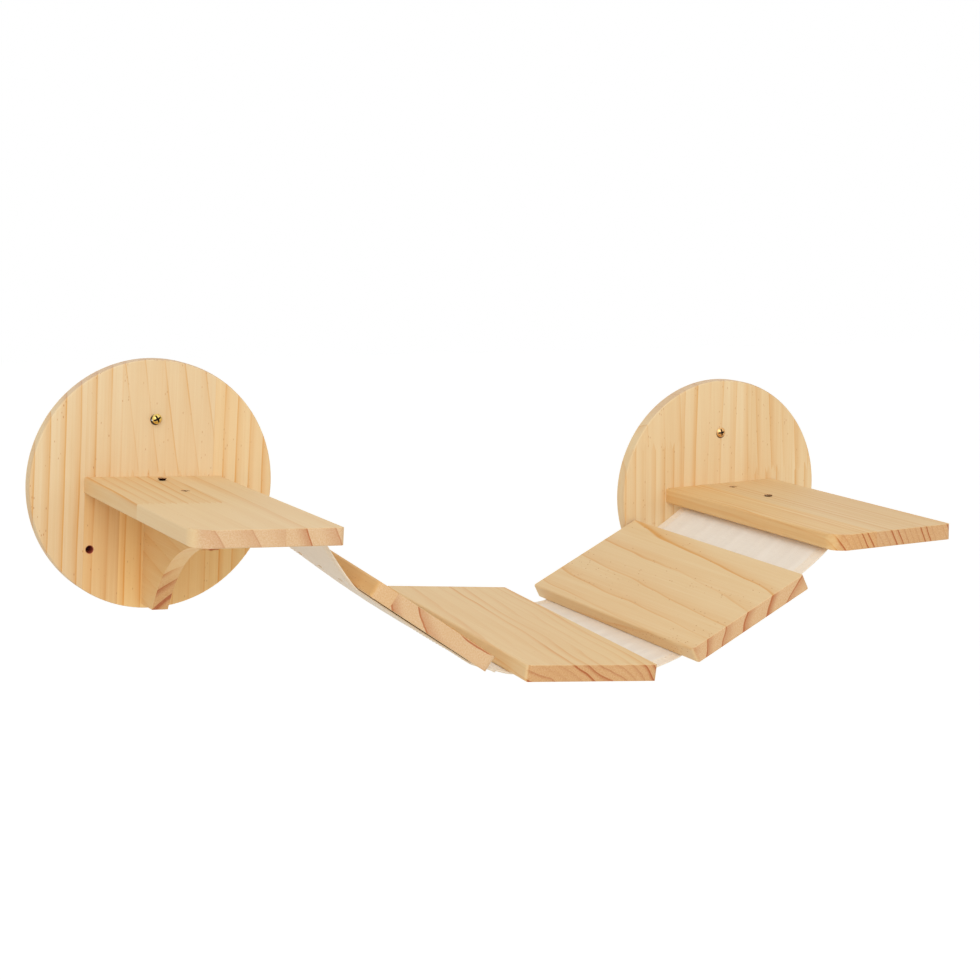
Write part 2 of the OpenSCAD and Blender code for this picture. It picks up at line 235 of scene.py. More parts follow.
def new_material(name):
    return Nodes(bpy.data.materials.new(name))


def set_material(node, material):
    """Gives a CAD node's object one material on all its faces."""
    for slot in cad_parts[node].material_slots:
        slot.material = material


# Pine. Ranges are for Nodes.smooth: from, to, and where needed the values at these two.

EARLY, LATE = (0.82, 0.60, 0.33, 1), (0.72, 0.36, 0.095, 1)
END_TINT, END_LATE = (0.90, 0.84, 0.87, 1), (0.50, 0.175, 0.06, 1)
END_EARLY = tuple(a * b for a, b in zip(EARLY, END_TINT))
FLECK = (0.52, 0.22, 0.07, 1)
TONE_POWERS = (0.42, 1.0, 1.8)
WARM_SHARES = (0.4, 0.0, -1.0)

# Noise scales per metre: across the board, along the grain and through the board. A grit is the roughness
# of a noise.
WANDER, WOBBLE, FADE, BLOTCH = (13, 3.0, 13), (60, 9, 60), (45, 5.5, 45), (22, 4, 22)
STREAK, FIBRE, PORE = (190, 2.6, 190), (900, 11, 900), (800, 800, 800)
FLECK_CELLS, FLECK_CROWD = (520, 190, 520), (55, 5, 55)
FIBRE_GRIT, PORE_GRIT = 0.6, 0.7
SEED_STEPS, RING_SEED_STEP = (0.37, 0.71, 0.53), 7.3

# Joints between the pieces of wood, in metres
FINGER_L, FINGER_PITCH = 0.009, 0.005
GLUE_W, GLUE_SHADE = 0.00022, -0.07

# Rings: how far they wander and wobble in metres, where in a ring its soft dark band begins and ends,
# and the thin line at its end, with its width in metres and its edges in widths
WANDER_REACH, WOBBLE_REACH = 0.014, 0.0022
BAND_BEGIN, BAND_SPREAD, BAND_END = 0.25, 0.35, 0.97
LINE_W, LINE_MOST = 0.0014, 0.2
LINE_BEGIN, LINE_FULL, LINE_FALL = 1.4, 0.45, 0.4
STRENGTH_LEAST, STRENGTH_SPREAD, LATE_GAIN = 0.35, 0.65, 1.25
FADE_RANGE = (0.30, 0.62, 0.30, 1.0)
GROUP_RINGS, GROUP_RANGE = 2.5, (0.8, 1.6, 0.12, 1.0)
END_RANGE, END_LATE_MORE = (0.55, 0.85), 0.35

# How much each kind of grain lightens and darkens the wood
BLOTCH_SHADE, STREAK_SHADE, FIBRE_SHADE, PORE_SHADE = 0.14, 0.16, 0.18, 0.75

FLECK_IN_BAND, FLECK_DARK = 0.2, 0.55
FLECK_LIMITS, FLECK_EDGE = (0.46, 0.82, 0.995, 0.72), (0.08, 0.30, 1.0, 0.0)

# Painted shade in the wall holes: its colours, then in millimetres the radius that it covers, its soft
# edge, two depths below the mouth, and how strong the painted shade is at these depths
TOP_BORE_PAINTED_SHADE, LOW_BORE_PAINTED_SHADE = (0.03, 0.014, 0.012, 1), (0.45, 0.085, 0.06, 1)
TOP_PAINTED_SHADE_R, LOW_PAINTED_SHADE_R = 4.7, 3.6
BORE_EDGE, BORE_DEPTHS, BORE_PAINTED_SHADE_STRENGTH = (0.1, 0.4), (2.5, 0.7), (0.95, 0.55)

PINE_ROUGH, FIBRE_ROUGH, LATE_ROUGH = 0.50, 0.16, -0.14
PINE_SPECULAR = 0.35
LATE_RELIEF, FIBRE_RELIEF, FLECK_RELIEF = 0.6, 0.6, -0.8
PINE_BUMP = (0.25, 0.0003)


def wood(pith_x, pith_z, spacing, slant=0.0, dive=0.0, tint=1.0, contrast=1.0, phase=0.0, fleck=1.0,
         band=0.5, streak=1.0, wander=1.0, end=1.0, end_lines=1.0, group=0.0, warm=0.0, painted_light_slope=0.0):
    """One piece of pine, as vectors: where the middle of the tree was, in millimetres, how far its rings
    are apart, how the trunk leans across and through the board, how light the wood is, how strong the
    rings are, where they begin, how many flecks it has, how soft the rings are, how strong its streaks
    are, how much the rings wander, how light the ends are and how strong their lines, how much the rings
    come in groups, how warm the colour is and how much lighter it gets per metre along the grain, which
    is painted shade."""
    unused = 0.0
    return ((pith_x * MM, pith_z * MM, spacing * MM), (slant, dive, tint), (contrast, phase, fleck),
            (band, streak, wander), (end, end_lines, group), (warm, painted_light_slope, unused))


def choose_wood(n, strips, x, y):
    """The numbers of the wood that a point lies in, and whether it lies on a glue line."""
    teeth = n.math("PINGPONG", x, FINGER_PITCH / 2)
    zigzag = n.math("MULTIPLY_ADD", teeth, FINGER_L / (FINGER_PITCH / 2), -FINGER_L / 2)
    y_joint = n.math("ADD", y, zigzag)
    chosen, glue = None, 0.0
    for begin, first, *joined in strips:
        here = first
        for y_from, more in joined:
            beyond = n.math("GREATER_THAN", y_joint, y_from * MM)
            here = [n.mix("VECTOR", beyond, a, b) for a, b in zip(here, more)]
        if chosen is None:
            chosen = here
        else:
            beyond = n.math("GREATER_THAN", x, begin * MM)
            chosen = [n.mix("VECTOR", beyond, a, b) for a, b in zip(chosen, here)]
            glue = n.math("ADD", glue, n.math("COMPARE", x, begin * MM, GLUE_W))
    numbers = []
    for values in chosen:
        numbers += n.split(values) if isinstance(values, bpy.types.NodeSocket) else values
    return numbers, glue


def pine(name, place, strips, seed, bore_shades=()):
    """Pine glued up from strips. place leads from the row frame to the board's own: x across, y along the
    grain, z through. A strip is (the x where it begins, its first wood, then pairs of a y and the wood that
    is joined on from there). A bore shade is the x and y of a wall hole, the z of its mouth, the radius that
    its painted shade covers, in millimetres, and the colour of that painted shade."""
    n = new_material(name)
    local, normal = n.own_frame(place)
    x, y, z = n.split(local)
    numbers, glue = choose_wood(n, strips, x, y)
    (pith_x, pith_z, spacing, slant, dive, tint, contrast, phase, fleck_share, band_share, streak_share,
     wander_share, end_tint, end_lines, group, warm, painted_light_slope, _) = numbers
    shifted = n.vector("ADD", local, tuple(seed * step for step in SEED_STEPS))

    def grain(scales, **more):
        return n.noise(n.vector("MULTIPLY", shifted, scales), **more)

    def centred(value):
        return n.math("SUBTRACT", value, 0.5)

    # Growth rings round the leaning trunk, with a slow wander
    sway = n.math("MULTIPLY", centred(grain(WANDER, detail=3)), wander_share)
    across = n.math("SUBTRACT", n.math("SUBTRACT", x, pith_x), n.math("MULTIPLY", y, slant))
    across = n.math("MULTIPLY_ADD", sway, WANDER_REACH, across)
    through = n.math("SUBTRACT", n.math("SUBTRACT", z, pith_z), n.math("MULTIPLY", y, dive))
    through = n.math("MULTIPLY_ADD", centred(grain(WOBBLE)), WOBBLE_REACH, through)
    turn = n.math("ADD", n.math("DIVIDE", n.distance(across, through), spacing), phase)
    ring, count = n.math("FRACT", turn), n.math("FLOOR", turn)
    dice = n.node("ShaderNodeTexWhiteNoise", noise_dimensions="1D")
    n.put(dice.inputs["W"], n.math("ADD", count, seed * RING_SEED_STEP))
    luck = dice.outputs["Value"]
    band = n.smooth(ring, n.math("MULTIPLY_ADD", luck, BAND_SPREAD, BAND_BEGIN), BAND_END)
    left = n.math("MULTIPLY", n.math("SUBTRACT", 1.0, ring), spacing)
    wide = n.math("MINIMUM", n.math("MULTIPLY", spacing, LINE_MOST), LINE_W)
    line = n.smooth(left, n.math("MULTIPLY", wide, LINE_BEGIN), n.math("MULTIPLY", wide, LINE_FULL))
    fall = n.smooth(left, 0.0, n.math("MULTIPLY", wide, LINE_FALL))

    # Ends of the boards show the rings across the fibres
    end = n.smooth(n.math("ABSOLUTE", n.split(normal)[1]), *END_RANGE)
    side = n.math("SUBTRACT", 1.0, end)

    # The lines fade in and out along the grain, but not on the ends
    fade = n.mix("FLOAT", end, n.smooth(grain(FADE), *FADE_RANGE), 1.0)
    strength = n.math("MULTIPLY", contrast, n.math("MULTIPLY_ADD", luck, STRENGTH_SPREAD, STRENGTH_LEAST))
    strength = n.math("MULTIPLY", strength, fade)
    clump = n.smooth(n.math("PINGPONG", count, GROUP_RINGS), *GROUP_RANGE)
    strength = n.math("MULTIPLY", strength, n.mix("FLOAT", group, 1.0, clump))
    strength = n.math("MULTIPLY", strength, n.mix("FLOAT", end, 1.0, end_lines))
    late = n.math("MULTIPLY", n.mix("FLOAT", band_share, line, band), fall)
    late = n.math("MULTIPLY", late, n.math("MULTIPLY", strength, LATE_GAIN))

    # Colour
    streak = grain(STREAK, detail=3, roughness=FIBRE_GRIT)
    fibre = grain(FIBRE, detail=3, roughness=FIBRE_GRIT)
    pore = grain(PORE, roughness=PORE_GRIT)
    shade = n.math("MULTIPLY_ADD", centred(grain(BLOTCH)), BLOTCH_SHADE, tint)
    shade = n.math("MULTIPLY", shade, n.mix("FLOAT", end, 1.0, end_tint))
    lines = n.math("MULTIPLY", centred(streak), n.math("MULTIPLY", streak_share, STREAK_SHADE))
    lines = n.math("MULTIPLY_ADD", centred(fibre), FIBRE_SHADE, lines)
    dots = n.math("MULTIPLY", centred(pore), PORE_SHADE)
    shade = n.math("ADD", shade, n.mix("FLOAT", end, lines, dots))
    shade = n.math("MULTIPLY_ADD", glue, GLUE_SHADE, shade)
    # Painted shade: the wood gets lighter or darker along the grain
    shade = n.math("MULTIPLY_ADD", y, painted_light_slope, shade)
    amount = n.math("MULTIPLY", late, n.math("MULTIPLY_ADD", end, END_LATE_MORE, 1.0), clamp=True)
    light, dark = n.mix("RGBA", end, EARLY, END_EARLY), n.mix("RGBA", end, LATE, END_LATE)
    colour = n.tinted(n.mix("RGBA", amount, light, dark), [
        n.math("MULTIPLY", n.math("POWER", shade, power), n.math("MULTIPLY_ADD", warm, share, 1.0))
        for power, share in zip(TONE_POWERS, WARM_SHARES)])

    # Resin flecks: short dark dashes along the grain, in some streaks more than in others
    cells = n.node("ShaderNodeTexVoronoi", feature="F1", voronoi_dimensions="3D")
    n.put(cells.inputs["Vector"], n.vector("MULTIPLY", shifted, FLECK_CELLS))
    cells.inputs["Scale"].default_value = 1
    crowd = n.math("MULTIPLY_ADD", band, FLECK_IN_BAND, grain(FLECK_CROWD, detail=1))
    lot = n.split(cells.outputs["Color"])[0]
    rare = n.math("GREATER_THAN", lot, n.smooth(crowd, *FLECK_LIMITS))
    fleck = n.math("MULTIPLY", n.smooth(cells.outputs["Distance"], *FLECK_EDGE), rare)
    fleck = n.math("MULTIPLY", fleck, n.math("MULTIPLY", fleck_share, side))
    colour = n.mix("RGBA", n.math("MULTIPLY", fleck, FLECK_DARK), colour, FLECK)

    # Painted shade inside the wall holes; round the top holes it also covers the chamfer
    for hole_x, hole_y, mouth, radius, bore_shade in bore_shades:
        away = n.distance(n.math("SUBTRACT", x, hole_x * MM), n.math("SUBTRACT", y, hole_y * MM))
        near = n.smooth(away, *((radius + edge) * MM for edge in BORE_EDGE), 1.0, 0.0)
        deep = n.smooth(z, *((mouth - depth) * MM for depth in BORE_DEPTHS), *BORE_PAINTED_SHADE_STRENGTH)
        colour = n.mix("RGBA", n.math("MULTIPLY", near, deep), colour, bore_shade)
    n.put(n.shader.inputs["Base Color"], colour)

    # Sanded, bare surface
    rough = n.math("MULTIPLY_ADD", fibre, FIBRE_ROUGH, PINE_ROUGH)
    n.put(n.shader.inputs["Roughness"], n.math("MULTIPLY_ADD", late, LATE_ROUGH, rough))
    n.shader.inputs["Specular IOR Level"].default_value = PINE_SPECULAR
    height = n.math("MULTIPLY", n.mix("FLOAT", end, fibre, pore), FIBRE_RELIEF)
    height = n.math("MULTIPLY_ADD", late, LATE_RELIEF, height)
    n.bump(n.math("MULTIPLY_ADD", fleck, FLECK_RELIEF, height), *PINE_BUMP)
    return n.owner


# Frames of the boards

# x stays, y becomes up and z comes out of the wall
UPRIGHT = np.array(((1, 0, 0), (0, 0, 1), (0, -1, 0))).T
# The gusset's thickness lies along x, so its own x is up
GUSSET_TURN = np.array(((0, 0, 1), (0, 1, 0), (-1, 0, 0))).T


def board_place(middle, turn):
    """Matrix from the row frame to a board's own frame, with its middle, in millimetres, at the origin."""
    turn_back = Matrix(np.array(turn).T.tolist()).to_4x4()
    return turn_back @ Matrix.Translation([-v * MM for v in middle])


def bracket_place(side, offset, turn):
    return board_place(on_bracket(side, offset), LEAN_TURNS[side] @ turn)


def plate_place(side):
    return bracket_place(side, (0, 0, 0), UPRIGHT)


def shelf_place(side):
    return bracket_place(side, (0, -PLATE_T, 0), np.identity(3))


def gusset_place(side):
    return bracket_place(side, (0, -PLATE_T, -BOARD_T / 2), GUSSET_TURN)


def plank_place(i):
    return board_place(PLANK_MIDS[i], PLANK_TURNS[i])


# The woods of the boards: where each board is, its strips, its seed and the painted shade of its wall holes

WALL_HOLE_SHADES = (
    (0, 59.8, PLATE_T + 3, TOP_PAINTED_SHADE_R, TOP_BORE_PAINTED_SHADE),
    (-LOW_HOLE_X, LOW_HOLE_Z, PLATE_T + 1, LOW_PAINTED_SHADE_R, LOW_BORE_PAINTED_SHADE),
    (LOW_HOLE_X, LOW_HOLE_Z, PLATE_T, LOW_PAINTED_SHADE_R, LOW_BORE_PAINTED_SHADE),
)
# What the pieces of one board have in common
LEFT_EDGE = dict(pith_x=-300, pith_z=-40, spacing=13.5, phase=0.4, fleck=1.6, band=0.55, streak=1.5,
                 wander=0.6, end_lines=0.25)
LEFT_MIDDLE = dict(pith_x=-330, pith_z=-60)
LEFT_FAR = dict(pith_x=330, pith_z=-40, spacing=12.5, contrast=1.3, phase=0.4, wander=0.6, end_lines=0.25)
RIGHT_PLATE = dict(streak=1.8, end_lines=0.25)
LEFT_SHELF = dict(fleck=0.4, end=0.97, warm=-0.02)
RIGHT_SHELF = dict(slant=0.01, contrast=1.05, fleck=0.4, band=0.4, streak=2.2, end=0.85, end_lines=1.3,
                   group=1.0)
# The gussets' wood is darker and warmer: painted shade between plate and shelf
GUSSET = dict(pith_x=-150, spacing=14, tint=0.90, contrast=0.45, band=0.6, end=0.79, end_lines=4.5,
              warm=0.12)
LEFT_PLANK = dict(pith_x=45, pith_z=95, slant=0.02, band=0.35)

PINE = {
    "left_wall_plate": (plate_place(1), (
        # The left strip gets lighter upwards: painted shade towards the bottom
        (-115, wood(**LEFT_EDGE, tint=0.98, contrast=1.3, warm=-0.06, painted_light_slope=0.9)),
        # Below y = -2.5 a darker, warmer copy that darkens towards the shelf: painted shade under it
        (-64, wood(**LEFT_EDGE, tint=0.78, contrast=1.2, warm=0.07, painted_light_slope=-0.78),
         (-2.5, wood(**LEFT_EDGE, tint=0.985, contrast=1.3, warm=-0.06, painted_light_slope=0.5))),
        # Below y = -2.5 this wood is warmer: painted shade under the shelf
        (-31, wood(**LEFT_MIDDLE, spacing=15, contrast=1.2, band=0.45, wander=0.6, end_lines=0.25, warm=0.21),
         (-2.5, wood(**LEFT_MIDDLE, spacing=15, slant=-0.05, contrast=0.9, phase=0.6, band=0.4, wander=0.5,
                     warm=-0.03)),
         (10, wood(**LEFT_MIDDLE, spacing=18.5, slant=-0.16, tint=1.02, contrast=0.9, phase=0.3, band=0.3,
                   wander=0.5, end_lines=0.25, warm=-0.06))),
        # Below y = -25 this wood is warmer: painted shade under the shelf
        (57, wood(**LEFT_FAR, warm=0.22), (-25, wood(**LEFT_FAR, tint=1.04, warm=0.03))),
    ), 1.0, WALL_HOLE_SHADES),
    "right_wall_plate": (plate_place(-1), (
        (-115, wood(-300, -50, 11, tint=1.03, contrast=0.9, band=0.6, wander=0.6, **RIGHT_PLATE),
         (52, wood(-320, 60, 20, slant=-0.05, tint=1.05, contrast=0.5, wander=0.6, end_lines=0.25))),
        (-47, wood(-420, -60, 15.5, slant=0.03, tint=1.10, contrast=0.75, phase=0.3, band=0.75, wander=0.9,
                   **RIGHT_PLATE)),
        (33, wood(400, 60, 12, tint=0.98, contrast=0.9, fleck=1.6, band=0.6, **RIGHT_PLATE),
         (18, wood(420, 60, 15, slant=-0.04, tint=0.99, contrast=0.85, band=0.6, wander=0.8, **RIGHT_PLATE))),
    ), 2.0, WALL_HOLE_SHADES),
    "left_shelf": (shelf_place(1), (
        (-65, wood(-150, -80, 27, tint=0.99, contrast=0.45, streak=0.8, end_lines=1.9, **LEFT_SHELF),
         (-160, wood(-190, -70, 10, slant=0.03, tint=0.90, fleck=0.5))),
        (13, wood(-250, -110, 24, slant=0.02, tint=0.96, contrast=0.6, streak=1.2, end_lines=1.5,
                  **LEFT_SHELF)),
    ), 3.0, ()),
    "right_shelf": (shelf_place(-1), (
        # This strip is darker and warmer: painted shade on the shelf's left side, which also reaches its top
        (-65, wood(-240, -105, 5.5, tint=0.88, warm=0.09, **RIGHT_SHELF)),
        (-20, wood(-260, -120, 6, tint=0.90, **RIGHT_SHELF)),
    ), 4.0, ()),
    "left_gusset": (gusset_place(1), (
        (-120, wood(**GUSSET, pith_z=-75, slant=0.12, dive=0.06)),
    ), 5.0, ()),
    "right_gusset": (gusset_place(-1), (
        (-120, wood(**GUSSET, pith_z=75, slant=0.1, dive=-0.06)),
    ), 6.0, ()),
    "left_plank": (plank_place(0), (
        # This strip is darker: painted shade on the plank's left side
        (-65, wood(**LEFT_PLANK, spacing=30, tint=0.70, contrast=0.5, end=1.26, end_lines=0.2, warm=0.06)),
        (-45, wood(**LEFT_PLANK, spacing=22, tint=0.88, contrast=0.8, phase=0.25, end=1.05, end_lines=1.6)),
    ), 7.0, ()),
    "middle_plank": (plank_place(1), (
        (-65, wood(-150, -250, 7, slant=0.02, dive=0.03, tint=0.965, contrast=1.15, fleck=0.5, band=0.75,
                   wander=3.0, end=0.76, end_lines=1.05, group=0.9, warm=0.02)),
    ), 8.0, ()),
    "right_plank": (plank_place(2), (
        (-65, wood(92, -80, 18, slant=0.03, dive=-0.06, tint=0.97, contrast=0.85, fleck=1.6, band=0.4,
                   wander=2.6, end=0.90, end_lines=1.6)),
    ), 9.0, ()),
}


# Metals: the colour, the roughness, the tarnish and, where it isn't 1, how metallic each is

METALS = {
    "bright_zinc": ((0.86, 0.66, 0.20, 1), 0.24, (0.72, 0.50, 0.14, 1)),
    "yellow_zinc": ((0.84, 0.53, 0.23, 1), 0.28, (0.66, 0.38, 0.16, 1)),
    "dull_zinc": ((0.52, 0.43, 0.33, 1), 0.20, (0.34, 0.26, 0.19, 1)),
    # Painted shade for the cross recesses of the wall screws
    "recess": ((0.05, 0.035, 0.03, 1), 0.5, (0.03, 0.02, 0.02, 1)),
    "coated_staple": ((0.90, 0.83, 0.73, 1), 0.40, (0.82, 0.74, 0.63, 1), 0.2),
}
TARNISH_SCALE, TARNISH_GRIT, TARNISH_RANGE = 420, 0.6, (0.35, 0.75)
SCRATCH_SCALE, SCRATCH_ROUGH, SCRATCH_BUMP = 3200, 0.22, (0.12, 0.00004)
# Shelf screw heads: zinc with a painted highlight in the middle, painted shade round the edge and on the cone
HEAD_ZINC_AND_HIGHLIGHT, HEAD_EDGE_PAINTED_SHADE = (0.90, 0.80, 0.60, 1), (0.13, 0.05, 0.02, 1)
HEAD_CONE_PAINTED_SHADE, HEAD_EDGE_TINT = (0.02, 0.012, 0.01, 1), (0.62, 0.36, 0.22, 1)
HEAD_SHADE_RING_RANGE, HEAD_LIT_TOP_RANGE, HEAD_ROUGH = (0.0025, 0.0036), (0.3, 0.8), 0.26


def scratch(n, roughness):
    """Fine scratches in a metal's gloss and surface."""
    fine = n.noise(n.coord("Object"), scale=SCRATCH_SCALE)
    n.put(n.shader.inputs["Roughness"], n.math("MULTIPLY_ADD", fine, SCRATCH_ROUGH, roughness))
    n.bump(fine, *SCRATCH_BUMP)


def metal(name, colour, roughness, tarnish, metallic=1.0):
    n = new_material(name)
    cloud = n.noise(n.coord("Object"), scale=TARNISH_SCALE, detail=3, roughness=TARNISH_GRIT)
    colour = n.mix("RGBA", n.smooth(cloud, *TARNISH_RANGE), colour, tarnish)
    n.put(n.shader.inputs["Base Color"], colour)
    n.shader.inputs["Metallic"].default_value = metallic
    scratch(n, roughness)
    return n.owner


def shelf_screw_metal(name):
    """Screws in a shelf: zinc with a painted highlight in the middle of the head, painted shade round
    its edge and on the cone below.
    """
    n = new_material(f"shelf_screw_{name}")
    local, normal = n.own_frame(shelf_place(SIDES[name]))
    x, y, _ = n.split(local)
    away = [n.distance(x, n.math("SUBTRACT", y, screw_y * MM)) for screw_y in SHELF_SCREW_Y]
    # Painted shade in a ring round each head's edge, and on the faces that don't look up
    ring = n.smooth(n.math("MINIMUM", *away), *HEAD_SHADE_RING_RANGE)
    up = n.smooth(n.split(normal)[2], *HEAD_LIT_TOP_RANGE)
    colour = n.mix("RGBA", up, HEAD_CONE_PAINTED_SHADE, n.mix("RGBA", ring, HEAD_ZINC_AND_HIGHLIGHT, HEAD_EDGE_PAINTED_SHADE))
    n.put(n.shader.inputs["Base Color"], colour)
    n.shader.inputs["Metallic"].default_value = 1.0
    n.shader.inputs["Specular Tint"].default_value = HEAD_EDGE_TINT
    scratch(n, HEAD_ROUGH)
    return n.owner


# Canvas: colours, weave and noise scales per metre of cloth

CREAM, HEM_CREAM = (0.91, 0.845, 0.75, 1), (0.93, 0.83, 0.69, 1)
# Painted shade: the canvas's underside is darker and warmer
UNDERSIDE_PAINTED_SHADE, UNDERSIDE_SHADE_RANGE = (0.97, 0.905, 0.815, 1), (-0.2, 0.2, 1.0, 0.0)
CANVAS_POWERS = (0.8, 1.0, 1.25)
WEAVE_PITCH = 0.0008
SLUB_ALONG, SLUB_ACROSS, CLOUD = (1600, 60, 1), (60, 1600, 1), (26, 26, 1)
CANVAS_SHADE, SLUB_SHADE, CLOUD_SHADE, WEAVE_SHADE = 0.86, 0.10, 0.06, 0.018
CANVAS_ROUGH, SLUB_ROUGH, CANVAS_SPECULAR = 0.82, 0.12, 0.2
SHEEN, SHEEN_ROUGH = 0.15, 0.5
WEAVE_RELIEF, CANVAS_BUMP = 0.5, (0.35, 0.00012)
YARN_DARK, YARN_LIGHT = (0.80, 0.72, 0.60, 1), (0.90, 0.84, 0.74, 1)
YARN_SCALE, YARN_ROUGH, TWIST_ROUGH, YARN_BUMP = 2600, 0.6, 0.2, (0.3, 0.0001)

# Canvas: sizes in millimetres
HEM_W, HEM_T, HEM_EDGE, CLOTH_T = 12.0, 1.5, 0.6, 1.15
EDGE_W, EDGE_T = 0.5, HEM_T - 0.45
STITCH_IN = 9.5
STITCH_L, STITCH_STEP, STITCH_R = 2.6, 3.6, 0.28
STITCH_SHARES = (0, 0.12, 0.35, 0.65, 0.88, 1)
HEM_COLUMNS = (0, 0.35, 0.9, 2.5, 5, 7.5, 10, HEM_W - 0.5, HEM_W, HEM_W + HEM_EDGE)
MIDDLE_COLUMNS, MIDDLE_IN = 90, HEM_W + 3
ROW_STEP = 2.0
LAP, LAP_DROP, FOLD_DROP = 5.0, CLOTH_T + 0.3, 0.25
SEAM_IN = 45
DROOP_FROM = 0.88
SOFTEN_PASSES = 3
HINGE_BEND = 3.0


def canvas_material():
    n = new_material("cream_canvas")
    uv = n.node("ShaderNodeUVMap", uv_map="cloth").outputs[0]
    u, v, _ = n.split(uv)
    slub = n.noise(n.vector("MULTIPLY", uv, SLUB_ALONG))
    slubs = n.math("ADD", slub, n.noise(n.vector("MULTIPLY", uv, SLUB_ACROSS)))
    warp, weft = (n.math("SINE", n.math("MULTIPLY", way, TURN / WEAVE_PITCH)) for way in (u, v))
    weave = n.math("MULTIPLY", warp, weft)
    cloud = n.noise(n.vector("MULTIPLY", uv, CLOUD), detail=3)
    shade = n.math("MULTIPLY_ADD", slubs, SLUB_SHADE, CANVAS_SHADE)
    shade = n.math("MULTIPLY_ADD", cloud, CLOUD_SHADE, shade)
    shade = n.math("MULTIPLY_ADD", weave, WEAVE_SHADE, shade)
    from_middle = n.math("ABSOLUTE", n.math("SUBTRACT", u, CANVAS_W / 2 * MM))
    hem_in = CANVAS_W / 2 - HEM_W
    hem = n.smooth(from_middle, (hem_in - HEM_EDGE) * MM, hem_in * MM)
    # Faces that look down get the painted shade
    underside_shade = n.smooth(n.split(n.coord("Normal"))[2], *UNDERSIDE_SHADE_RANGE)
    cream = n.mix("RGBA", hem, CREAM, HEM_CREAM)
    cream = n.mix("RGBA", underside_shade, cream, UNDERSIDE_PAINTED_SHADE, "MULTIPLY")
    colour = n.tinted(cream, [n.math("POWER", shade, power) for power in CANVAS_POWERS])
    n.put(n.shader.inputs["Base Color"], colour)
    n.put(n.shader.inputs["Roughness"], n.math("MULTIPLY_ADD", slub, SLUB_ROUGH, CANVAS_ROUGH))
    n.shader.inputs["Specular IOR Level"].default_value = CANVAS_SPECULAR
    n.shader.inputs["Sheen Weight"].default_value = SHEEN
    n.shader.inputs["Sheen Roughness"].default_value = SHEEN_ROUGH
    n.bump(n.math("MULTIPLY_ADD", weave, WEAVE_RELIEF, slubs), *CANVAS_BUMP)
    return n.owner


def thread_material():
    n = new_material("hem_thread")
    twist = n.noise(n.coord("Object"), scale=YARN_SCALE)
    n.put(n.shader.inputs["Base Color"], n.mix("RGBA", twist, YARN_DARK, YARN_LIGHT))
    n.put(n.shader.inputs["Roughness"], n.math("MULTIPLY_ADD", twist, TWIST_ROUGH, YARN_ROUGH))
    n.bump(twist, *YARN_BUMP)
    return n.owner


def under_plank(i, x):
    """A line of canvas under plank i, as its points on the back and on the front edge."""
    return [PLANK_MIDS[i] + PLANK_TURNS[i] @ np.array([x, y - PLANK_Y, -FABRIC_CLEAR])
            for y in (CANVAS_BACK, CANVAS_FRONT)]


def under_shelf(side, x):
    """A line of canvas under a shelf, at x in its bracket."""
    return [on_bracket(side, (x, y, -BOARD_T / 2 - FABRIC_CLEAR)) for y in (CANVAS_BACK, CANVAS_FRONT)]


def between(a, b, share):
    return [p + (q - p) * share for p, q in zip(a, b)]


def lowered(line, drop):
    return [p - np.array([0, 0, drop]) for p in line]


def across_columns():
    """Shares of the canvas's width, close together at the hems."""
    edge = np.array(HEM_COLUMNS)
    middle = np.linspace(MIDDLE_IN, CANVAS_W - MIDDLE_IN, MIDDLE_COLUMNS)
    return np.concatenate([edge, middle, CANVAS_W - edge[::-1]]) / CANVAS_W


COLUMNS = across_columns()


def wrinkles(share, seed):
    """Fine folds that run along a free stretch of canvas: for every column, from -1 to 1."""
    c = TURN * COLUMNS
    sway = 0.9 * math.sin(2.1 * share + seed)
    return (0.45 * np.sin(9 * c + seed + sway) + 0.33 * np.sin(14 * c + 2.3 * seed - 1.4 * sway)
            + 0.22 * np.sin(23 * c + 4.1 * seed + 2 * sway * share))


def stretch(first, last, sag=0, folds=0, droop=0, belly=0):
    """A stretch of canvas from one line to another, and in millimetres how far it sags, how deep its folds
    are, how far its front edge droops and how far it bellies out between the hems."""
    return first, last, sag, folds, droop, belly


def canvas_rows(stretches):
    """Points of the upper face, row by row, and how far along the cloth each row lies."""
    ripples = 1 + RIPPLE_SHARE * np.cos(TURN * FOLD_COUNT * COLUMNS)
    hang = np.clip((COLUMNS - DROOP_FROM) / (1 - DROOP_FROM), 0, 1) ** 2
    round_belly = np.sin(math.pi * COLUMNS) ** 0.5
    rows, along, total = [], [], 0.0
    for k, (a, b, sag, folds, droop, belly) in enumerate(stretches):
        length = np.linalg.norm((np.array(b) - np.array(a)).mean(0))
        count = max(2, round(length / ROW_STEP))
        normal = np.cross(b[0] - a[0], a[1] - a[0])
        normal = normal / np.linalg.norm(normal)
        normal = -normal if normal[2] > 0 else normal
        for j in range(0 if k == 0 else 1, count + 1):
            share = j / count
            p, q = between(a, b, share)
            line = p + (q - p) * COLUMNS[:, None]
            bow = 4 * share * (1 - share)
            depth = sag * bow * ripples
            depth = depth + folds * bow ** 0.7 * (1 + wrinkles(share, 1.7 * k + 0.6)) / 2
            depth = depth + droop * hang + belly * bow * round_belly
            rows.append(line + normal * depth[:, None])
            along.append(total + length * share)
        total += length
    return np.array(rows), np.array(along)


def soften(rows, passes):
    """Rounds the bends between stretches; the first and last rows stay."""
    for _ in range(passes):
        rows[1:-1] = rows[1:-1] / 2 + (rows[:-2] + rows[2:]) / 4
    return rows


def grid_normals(rows):
    """Normals of a grid of points, all of them downwards."""
    normals = np.cross(np.gradient(rows, axis=0), np.gradient(rows, axis=1))
    normals /= np.linalg.norm(normals, axis=2)[:, :, None]
    return np.where(normals[:, :, 2:] > 0, -normals, normals)


